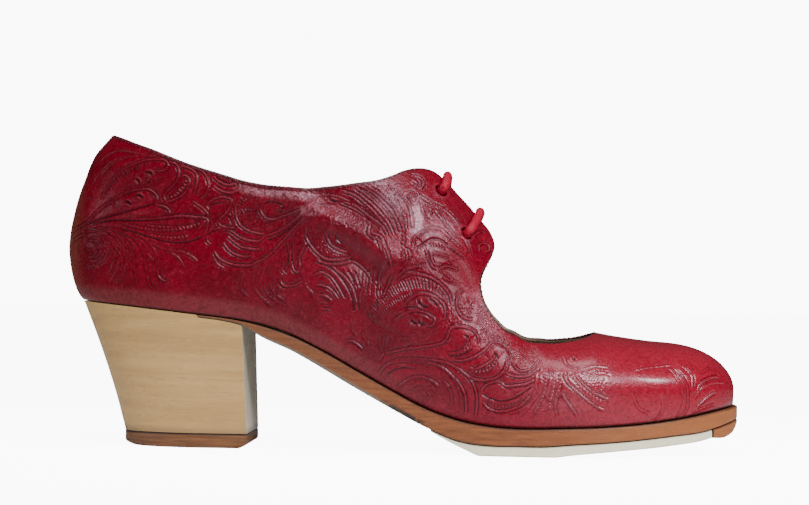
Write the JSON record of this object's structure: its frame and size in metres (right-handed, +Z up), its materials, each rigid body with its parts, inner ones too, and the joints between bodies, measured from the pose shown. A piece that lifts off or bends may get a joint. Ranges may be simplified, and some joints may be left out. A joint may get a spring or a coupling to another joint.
{
  "type": "flamenco shoe",
  "caption": "Right flamenco shoe: hollow tooled leather upper, tied at the instep, on a leather sole with rubber tread and a stacked wooden heel.",
  "frame": {"origin": "on the floor, under the centre of the shoe's box", "axes": "+X from heel to toe, +Y to the inner side of the foot, +Z up from the floor"},
  "size_m": [0.2556, 0.086, 0.118],
  "materials": {
    "red_leather": "glossy tooled crimson leather",
    "sole_leather": "burnished orange-brown sole edge",
    "cream_rubber": "matt cream rubber",
    "lining_leather": "matt olive beige lining",
    "heel_wood": "satin lacquered pale wood",
    "lift_leather": "red-brown stacked leather",
    "red_cord": "bright red round cord"
  },
  "bodies": {
    "root": {"upper": "red_leather", "outsole": "sole_leather", "half_sole": "cream_rubber", "toe_piece": "sole_leather", "insole": "lining_leather", "heel": "heel_wood", "heel_lift": "lift_leather", "lace": "red_cord"}
  },
  "joints": []
}
